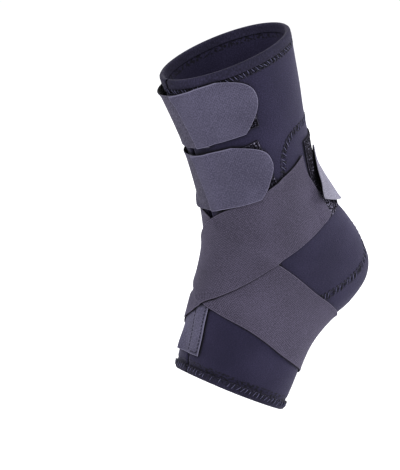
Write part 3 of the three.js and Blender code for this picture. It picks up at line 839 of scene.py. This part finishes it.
def sleeve_panels():
    """The sleeve as three panels cut from one grid over the face. Grid corners near a seam are moved onto it,
    each quad is split along the seam, and each triangle goes to the panel that it lies in. A panel is its
    outer face, the same face a thickness further in, and a wall round its border."""
    station = np.linspace(0, LAST_STATION, SLEEVE_ROWS + 1)[:, None] + np.zeros(SLEEVE_COLUMNS + 1)
    edge = opening_edge(station[:, :1])
    azimuth = edge + (360 - 2 * edge) * np.linspace(0, 1, SLEEVE_COLUMNS + 1)
    _, per_station, per_degree, _ = face_frame(station, azimuth)
    cell_s = LAST_STATION / SLEEVE_ROWS * np.linalg.norm(per_station, axis=-1)
    cell_d = 360 / SLEEVE_COLUMNS * np.linalg.norm(per_degree, axis=-1)
    inside = np.zeros(station.shape, bool)
    inside[1:-1, 1:-1] = True
    sides = {}
    for name, panel in PANELS.items():
        distance, out_s, out_d = panel_distance(station, azimuth, panel)
        reach = np.abs(out_s) * STATION_MM * cell_s + np.abs(out_d) * SNAP_DEGREE_MM * cell_d
        snap = inside & (np.abs(distance) < SNAP_SHARE * np.clip(reach, *SNAP_CELL))
        for _ in range(2):
            move = np.where(snap, panel_distance(station, azimuth, panel)[0], 0)
            station = station - move * out_s
            azimuth = azimuth - move * out_d
        sides[name] = np.where(snap, 0, np.sign(distance)).astype(int)
    cup_distance = np.abs(panel_distance(station, azimuth, HEEL_CUP)[0])
    achilles_distance = np.abs(panel_distance(station, azimuth, ACHILLES_PANEL)[0])
    in_cup = panel_level(station, azimuth, HEEL_CUP) < 0
    rim = np.minimum(station, LAST_STATION - station) * np.linalg.norm(per_station, axis=-1)
    seam = np.minimum(achilles_distance + FAR * in_cup, cup_distance)
    seam = np.minimum(seam, np.abs(rim - BINDING_HEIGHT - RIM_GROOVE))
    squeeze = 1 - smooth((rim - RIM_START) / RIM_EASE)
    outer = soft_folds(station, azimuth) * (1 - squeeze) - RIM_SINK * squeeze
    outer = outer - SEAM_DIP * (1 - smooth(seam / SEAM_HALF))
    border = np.minimum(azimuth - edge, 360 - edge - azimuth) * np.linalg.norm(per_degree, axis=-1)
    close = 0.5 * NEOPRENE - rounded(np.maximum(border, 0), NEOPRENE, OPENING_ROUND, 2.0)
    close = np.minimum(close, OPENING_CLOSE * (NEOPRENE - (RIM_SINK + RIM_RISE) * squeeze))
    top = offset_points(station, azimuth, outer - close).reshape(-1, 3)
    bottom = offset_points(station, azimuth, close - NEOPRENE + RIM_RISE * squeeze).reshape(-1, 3)
    cloth = np.stack([azimuth * DEGREE_MM, station * STATION_MM, seam], -1).reshape(-1, 3)

    # Each quad is split on the diagonal whose two ends lie on a seam
    index = np.arange(station.size).reshape(station.shape)
    a, b, c, d = grid_faces(index).T
    other = np.zeros(len(a), bool)
    for side in sides.values():
        flat = side.ravel()
        other |= (flat[b] == 0) & (flat[d] == 0) & (flat[a] * flat[c] < 0)
    first = np.where(other[:, None], np.stack([a, b, d], -1), np.stack([a, b, c], -1))
    last = np.where(other[:, None], np.stack([b, c, d], -1), np.stack([a, c, d], -1))
    triangles = np.concatenate([first, last])
    middle_s = station.ravel()[triangles].mean(1)
    middle_a = azimuth.ravel()[triangles].mean(1)
    within = {}
    for name, panel in PANELS.items():
        total = sides[name].ravel()[triangles].sum(1)
        within[name] = np.where(total == 0, panel_level(middle_s, middle_a, panel) < 0, total < 0)
    kinds = {
        "neoprene_front": ("sleeve_front_panel", ~within["achilles"] & ~within["cup"]),
        "neoprene_achilles": ("sleeve_achilles_panel", within["achilles"] & ~within["cup"]),
        "neoprene_heel_cup": ("sleeve_heel_cup", within["cup"]),
    }
    for name, (node, mine) in kinds.items():
        own = triangles[mine]
        used, local = np.unique(own, return_inverse=True)
        local = local.reshape(-1, 3)
        count = len(used)
        edges = np.concatenate([local[:, [0, 1]], local[:, [1, 2]], local[:, [2, 0]]])
        key, back = edges[:, 0] * count + edges[:, 1], edges[:, 1] * count + edges[:, 0]
        rim = edges[~np.isin(key, back)]
        wall = np.stack([rim[:, 1], rim[:, 0], rim[:, 0] + count, rim[:, 1] + count], -1)
        points = np.vstack([top[used], bottom[used]])
        faces = [local, local[:, ::-1] + count, wall]
        piece = make_piece(name, points, faces, [JERSEY], np.tile(cloth[used], (2, 1)), sharp=50)
        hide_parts(node)


# Steps from stitch to stitch and widths of the flat seams of each panel, and of the seams under the rims
SEAMS = {"achilles": (ACHILLES_PANEL, 1.7, 4.2), "heel_cup": (HEEL_CUP, 1.9, 5.4)}
RIM_STITCH = 1.6
RIM_SEAM_WIDTH = 3.6

# How far from the rim each rim's seam runs, and how high over the face: beside the binding, and on top of it
RIM_SEAMS = {"leg_binding": (6.3, 0.15), "foot_binding": (2.4, 0.8)}

# The binding's air to the sleeve, the distance between its grid's marks, its rounded rim, how far it puffs
# up, the radius of its rounded ends, and how much higher its top counts for what is laid over it
BINDING_GAP = 0.15
BINDING_STEP = 0.7
BINDING_RIM = 0.4
BINDING_PUFF = 0.12
BINDING_END = 0.7
BINDING_EXTRA = 0.3

# How deep the flat seams' threads lie in their groove
SEAM_SUNK = 0.1


def panel_outline(panel, count=2000):
    """Places along a panel's outline: its superellipse by its own angle."""
    middle, reach_up, reach_down, _, _, exponent = panel
    turn = np.linspace(0, 2 * np.pi, count)
    s = -np.sign(np.cos(turn)) * np.abs(np.cos(turn)) ** (2 / exponent)
    a = np.sign(np.sin(turn)) * np.abs(np.sin(turn)) ** (2 / exponent)
    station = middle + np.where(s < 0, reach_up, reach_down) * s
    return station, 180 + panel_degrees(station, panel) * a


def evenly(station, azimuth, step):
    """Places at even steps along a line of places, with their points, normals and sideways directions."""
    lengths = running_lengths(face(station, azimuth))
    wanted = np.arange(0, lengths[-1], step)
    station, azimuth = np.interp(wanted, lengths, station), np.interp(wanted, lengths, azimuth)
    point, _, _, normal = face_frame(station, azimuth)
    side = unit(np.cross(normal, np.gradient(point, axis=0)))
    return station, azimuth, point, normal, side


def seam_stitches():
    """Stitches of the flat seams along the panels' outlines. The Achilles panel's stop at the heel cup."""
    for name, (panel, step, width) in SEAMS.items():
        station, azimuth, point, normal, side = evenly(*panel_outline(panel), step)
        if name == "achilles":
            kept = panel_distance(station, azimuth, HEEL_CUP)[0] > width / 2
            point, normal, side = point[kept], normal[kept], side[kept]
        cover_stitches(f"flat_seam_{name}", point - normal * SEAM_SUNK, normal, side, width)


def rim_binding(name, node, station, inwards):
    """Binding folded over a rim: a U that runs down the outer side, round the rim in a half circle and down
    the inner side, with rounded ends, carried round the sleeve."""
    squeezed = NEOPRENE - RIM_SINK - RIM_RISE
    radius = squeezed / 2 + BINDING_GAP + BINDING_CLOTH / 2
    bend = np.pi * radius
    total = 2 * BINDING_HEIGHT + bend
    along = marks(total, BINDING_STEP, BINDING_RIM)
    turn = np.clip((along - BINDING_HEIGHT) / bend, 0, 1) * np.pi
    leg = np.maximum(np.maximum(BINDING_HEIGHT - along, along - BINDING_HEIGHT - bend), 0)
    depth = leg - radius * np.sin(turn)
    height = radius * np.cos(turn) - RIM_SINK - squeezed / 2
    out_depth, out_height = -np.sin(turn), np.cos(turn)
    eased = smooth((depth - RIM_START) / RIM_EASE)
    height = height + np.where(out_height > 0, RIM_SINK, -RIM_RISE) * eased
    puff = BINDING_PUFF * np.sin(np.pi * np.clip(leg / BINDING_HEIGHT, 0, 1)) ** 2 * np.sign(out_height)
    border = np.minimum(along, total - along)
    half = rounded(border, BINDING_CLOTH, BINDING_RIM)
    station = float(station)
    edge = opening_edge(np.array(station))
    azimuth = np.linspace(edge, 360 - edge, SLEEVE_COLUMNS * 2 + 1)
    pace = np.linalg.norm(face_frame(station, azimuth)[1], axis=-1)
    end_distance = np.minimum(azimuth - edge, 360 - edge - azimuth) * DEGREE_MM
    round_ends = 2 * rounded(end_distance, 1.0, BINDING_END)

    def layer(sign):
        thick = sign * half * round_ends[:, None]
        d = depth + out_depth * thick
        h = height + puff + out_height * thick
        at = station + inwards * d / pace[:, None]
        return offset_points(at, azimuth[:, None] + 0 * d, h)

    cloth = np.stack(np.broadcast_arrays(azimuth[:, None] * DEGREE_MM, along, border), -1)
    points, faces, cloth = two_faces(layer(1), layer(-1), cloth)
    if inwards > 0:
        faces = [block[:, ::-1] for block in faces]
    piece = make_piece(name, points, faces, [BINDING], cloth)
    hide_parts(node)
    covered = station + inwards * np.linspace(0, BINDING_HEIGHT, 8) / pace[:, None]
    raise_ground(covered, azimuth[:, None] + 0 * covered, BINDING_GAP + BINDING_CLOTH + BINDING_EXTRA)
    seam_depth, seam_height = RIM_SEAMS[name]
    _, _, point, normal, side = evenly(station + inwards * seam_depth / pace, azimuth, RIM_STITCH)
    cover_stitches(name, point + normal * seam_height, normal, -inwards * side, RIM_SEAM_WIDTH)


# Lockstitch: its step and radius, the share of a step that a stitch fills, how high its line lies over the
# cloth in radii, and how far it arches
LOCK_STEP = 2.6
LOCK_RADIUS = 0.28
LOCK_FILLS = 0.8
LOCK_RAISED = 0.3
LOCK_ARCH = 0.12


def row_of_stitches(name, slot, strip, distance, across):
    """Lockstitch along a line of points on a strip: one stitch after another, with a little gap between."""
    point, normal = on_strip(strip, distance, across)
    lengths = running_lengths(point)
    starts = np.arange(0, lengths[-1] - LOCK_STEP, LOCK_STEP)

    def at(wanted, values):
        return np.stack([np.interp(wanted, lengths, values[:, k]) for k in range(3)], -1)

    lifted = point + normal * LOCK_RADIUS * LOCK_RAISED
    ends = (at(starts, lifted), at(starts + LOCK_FILLS * LOCK_STEP, lifted))
    sew(name, *ends, unit(at(starts, normal)), LOCK_RADIUS, LOCK_ARCH, DARK_THREAD)


# Points along each row of stitches, and how far in from its border a patch is sewn down
ROW_POINTS = 200
PATCH_INSET = 2.2


def patches():
    """Pads of loop pile for the hook tapes, each sewn down round its border."""
    for name, (width, route) in PATCHES.items():
        patch = lay_strip(f"pile_patch_{name}", route, width, PILE, PILE_CLOTH)
        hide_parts(f"loop_patch_{name}")
        last = patch["line"].length - PATCH_INSET
        half = width / 2 - PATCH_INSET
        along = np.linspace(PATCH_INSET, last, ROW_POINTS)
        across = np.linspace(-half, half, 120)
        rows = {"a": (along, half), "b": (along, -half), "c": (PATCH_INSET, across), "d": (last, across)}
        for side, line in rows.items():
            row_of_stitches(f"patch_{name}_stitches_{side}", "loop_pile", patch, *line)


# The instep tape's fold as a share of its half width, how much higher it lies beyond it and over what share,
# how far its inner side lifts at the foot end, from and over what share, how many times within its length
# that fades, and how far in its seams run from its border, its upper end and its fold
TAPE_FOLD = -0.1
FOLD_HEIGHT = 0.75
FOLD_SLOPE = 0.06
TAPE_LIFT = 2.2
TAPE_LIFT_FROM = 0.35
TAPE_LIFT_OVER = 0.65
TAPE_LIFT_FADES = 1.6
TAPE_INSET = 1.8
TAPE_END_INSET = 1.0
FOLD_INSET = 0.6


def instep_tape():
    """Tape down the front of the foot, double on its outer side and sewn along that border and its fold."""

    def lift(share, edge):
        folded = FOLD_HEIGHT * smooth((TAPE_FOLD - edge) / FOLD_SLOPE)
        raised = TAPE_LIFT * smooth((edge - TAPE_LIFT_FROM) / TAPE_LIFT_OVER)
        return folded + raised * (1 - smooth(TAPE_LIFT_FADES * share))

    tape = lay_strip("folded_instep_tape", TAPE_ROUTE, TAPE_WIDTH, TAPE, TAPE_CLOTH, lift=lift)
    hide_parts("instep_tape")
    border, fold = TAPE_INSET - TAPE_WIDTH / 2, TAPE_WIDTH / 2 * TAPE_FOLD
    along = np.linspace(TAPE_INSET, tape["line"].length - TAPE_END_INSET, ROW_POINTS)
    rows = {
        "outer": (along, border),
        "fold": (along, fold + FOLD_INSET),
        "foot": (TAPE_INSET, np.linspace(border, fold, 100)),
    }
    for side, line in rows.items():
        row_of_stitches(f"instep_tape_stitches_{side}", "webbing", tape, *line)


# How far the hook tab stands off at its lower edge, how much further that edge is cut back than the upper
# one, how much its corners are rounded, and how many times further than other strips it bridges the ground
TAB_STAND = 4.0
TAB_SLANT = 2.0
TAB_CORNER = 2.0
TAB_STIFFNESS = 3


def bands():
    """The elastic band's two halves, each from under the arch across the instep, the second over the first,
    and the first half's hook tab."""
    under = lay_strip("elastic_band_under", BAND_UNDER_ROUTE, BAND_WIDTH, ELASTIC, ELASTIC_CLOTH)
    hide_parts("band_under")

    def cut(edge):
        hollow = BAND_END_HOLLOW * np.sin(np.pi * ((1 + edge) / 2) ** 2)
        return BAND_END_CUT + BAND_END_SLANT * BAND_WIDTH * (1 - edge) / 2 + hollow

    over = lay_strip("elastic_band_over", BAND_OVER_ROUTE, BAND_WIDTH, ELASTIC, ELASTIC_CLOTH, end_cut=cut)
    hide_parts("band_over")

    def stand(share, edge):
        return TAB_STAND * smooth(2 * share) * ((1 + edge) / 2) ** 1.5

    def tab_cut(edge):
        return TAB_SLANT * (1 + edge) / 2 + TAB_CORNER * np.abs(edge) ** 8

    cloths = {"material": PALE_HOOK_BACK, "under": HOOK_SIDE_PAINTED_SHADE}
    form = {"end_cut": tab_cut, "lift": stand, "stiffness": TAB_STIFFNESS}
    tab = lay_strip("band_hook_tab", BAND_TAB_ROUTE, BAND_TAB_WIDTH, HOOK_TAPE, **cloths, **form)
    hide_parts("band_grip")


# How far each strap's webbing stands off at its upper edge where it bridges the front, as a bell curve
# along it that gets lower towards its lower edge. The bell's middle and width are shares of the webbing's
# length, and its height along the middle line is a share of that at the upper edge
STRAP_BULGE = {"upper": 3.6, "lower": 1.4}
BULGE_MIDDLE = 0.6
BULGE_WIDTH = 0.3
BULGE_SHARE = 0.62

# How deep a hook tape's end is cut back at its upper and lower edge, and the exponents of the two curves
STRAP_END_DEPTHS = (23, 15)
STRAP_END_CURVES = (2.9, 1.5)


def strap_end(edge):
    """How much is cut off a hook tape's end: a power of the height over or under its middle line."""
    upper = STRAP_END_DEPTHS[0] * np.maximum(edge, 0) ** STRAP_END_CURVES[0]
    return upper + STRAP_END_DEPTHS[1] * np.maximum(-edge, 0) ** STRAP_END_CURVES[1]


def straps():
    """The two closing straps: webbing sewn to the inner side, and hook tape from the front on."""
    for name, (webbing_route, hook_route) in STRAPS.items():

        def stand(share, edge, bulge=STRAP_BULGE[name]):
            bell = np.exp(-(((share - BULGE_MIDDLE) / BULGE_WIDTH) ** 2))
            return bulge * bell * (BULGE_SHARE + (1 - BULGE_SHARE) * edge)

        webbing = lay_strip(f"webbing_{name}", webbing_route, STRAP_WIDTH, WEBBING, WEBBING_CLOTH, lift=stand)
        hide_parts(f"strap_webbing_{name}")
        cloths = {"material": HOOK_BACK, "under": HOOK_SIDE_PAINTED_SHADE}
        hook_name = f"hook_tape_{name}"
        hook = lay_strip(hook_name, hook_route, STRAP_WIDTH, HOOK_TAPE, end_cut=strap_end, **cloths)
        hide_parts(f"strap_grip_{name}")


# The floor's half side in metres, how far it lies under the foot rim, and the strength of the light all round
FLOOR_HALF = 8.0
FLOOR_BELOW = 60.0
SKY = 1.12

# The lamps: place and size in metres, and watts
LAMPS = {
    "key": ((-1.0, -1.3, 1.3), 0.8, 22.0),
    "side": ((1.9, -0.7, 0.7), 0.9, 34.0),
    "back": ((0.6, 1.5, 1.1), 0.9, 14.0),
}


def stage():
    """A pale floor well under the brace, soft light all round, and three large soft lamps."""
    floor = bpy.data.meshes.new("floor")
    level = (-FOOT_DROP - FLOOR_BELOW) * MM
    signs = [(-1, -1), (1, -1), (1, 1), (-1, 1)]
    floor.from_pydata([(x * FLOOR_HALF, y * FLOOR_HALF, level) for x, y in signs], [], [(0, 1, 2, 3)])
    pale = bpy.data.materials.new("pale_floor")
    pale.use_nodes = True
    pale.node_tree.nodes["Principled BSDF"].inputs["Base Color"].default_value = linear("#f4f4f6")
    pale.node_tree.nodes["Principled BSDF"].inputs["Roughness"].default_value = 0.9
    floor.materials.append(pale)
    plane = bpy.data.objects.new("floor", floor)
    bpy.context.scene.collection.objects.link(plane)
    world = bpy.data.worlds.new("studio")
    bpy.context.scene.world = world
    world.use_nodes = True
    world.node_tree.nodes["Background"].inputs["Color"].default_value = linear("#ffffff")
    world.node_tree.nodes["Background"].inputs["Strength"].default_value = SKY
    for name, (place, size, power) in LAMPS.items():
        lamp = bpy.data.lights.new(name, "AREA")
        lamp.size, lamp.energy = size, power
        light = bpy.data.objects.new(name, lamp)
        light.location = place
        light.rotation_euler = (-Vector(place)).to_track_quat("-Z", "Y").to_euler()
        bpy.context.scene.collection.objects.link(light)


def camera():
    """A long lens at the photograph's angle."""
    turn, lean = math.radians(CAMERA_TURN), math.radians(CAMERA_RAISE)
    right = Vector((math.cos(turn), -math.sin(turn), 0))
    ahead = Vector((math.sin(turn) * math.cos(lean), math.cos(turn) * math.cos(lean), -math.sin(lean)))
    above = right.cross(ahead)
    lens = bpy.data.cameras.new("camera")
    lens.lens, lens.sensor_width = CAMERA_LENS, CAMERA_SENSOR
    eye = bpy.data.objects.new("camera", lens)
    place = (CAMERA_BESIDE * right + CAMERA_BELOW * above - CAMERA_DISTANCE * ahead) * MM
    turned = Matrix((right, above, -ahead)).transposed().to_4x4()
    eye.matrix_world = Matrix.Translation(place) @ turned
    bpy.context.scene.collection.objects.link(eye)
    bpy.context.scene.camera = eye


camera()
sleeve_panels()
seam_stitches()
rim_binding("leg_binding", "leg_rim_binding", 0, 1)
rim_binding("foot_binding", "foot_rim_binding", LAST_STATION, -1)
patches()
instep_tape()
bands()
straps()
stage()
bpy.context.scene.view_settings.view_transform = "Standard"
